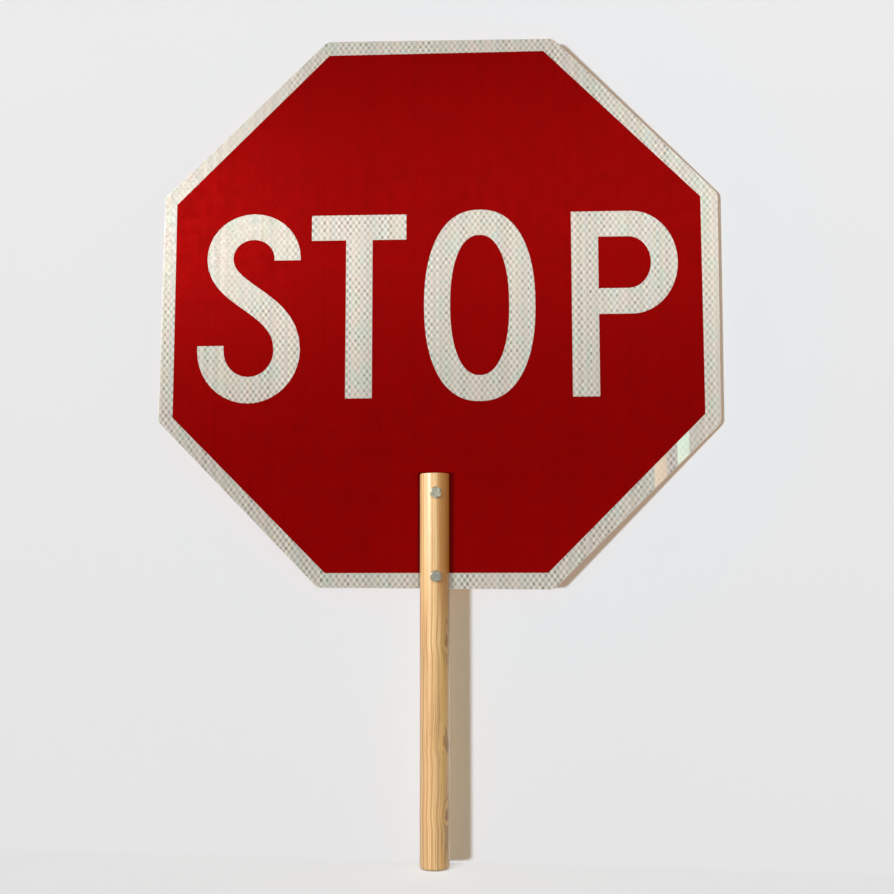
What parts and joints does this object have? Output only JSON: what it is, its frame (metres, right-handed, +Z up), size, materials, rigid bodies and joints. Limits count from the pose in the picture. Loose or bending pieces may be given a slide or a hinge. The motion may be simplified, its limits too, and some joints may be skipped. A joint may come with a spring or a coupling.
{
  "type": "stop slow paddle",
  "caption": "Octagonal hand-held traffic paddle, red stop face and orange slow face, bolted in the slot of a round wooden handle.",
  "frame": {"origin": "centre of the handle's bottom end", "axes": "+Z up the handle's axis to the sign, -Y out of the stop face, +X to the right of a person looking at the stop face"},
  "size_m": [0.4588, 0.0325, 0.6751],
  "materials": {
    "aluminium": "mill finish sheet",
    "white_sheeting": "white prismatic reflective sheeting",
    "orange_sheeting": "fluorescent orange prismatic reflective sheeting",
    "red_film": "transparent red overlay film",
    "black_film": "opaque black overlay film",
    "pine": "clear-sealed pine dowel",
    "zinc": "zinc-plated steel"
  },
  "bodies": {
    "root": {"sign_blank": "aluminium", "stop_sheeting": "white_sheeting", "stop_red_film": "red_film", "stop_o_counter": "red_film", "stop_p_counter": "red_film", "slow_sheeting": "orange_sheeting", "slow_border": "black_film", "slow_letter_s": "black_film", "slow_letter_l": "black_film", "slow_letter_o": "black_film", "slow_letter_w": "black_film", "handle": "pine", "bolt_upper": "zinc", "bolt_lower": "zinc", "washer_upper": "zinc", "washer_lower": "zinc", "lock_washer_upper": "zinc", "lock_washer_lower": "zinc", "nut_upper": "zinc", "nut_lower": "zinc"}
  },
  "joints": []
}
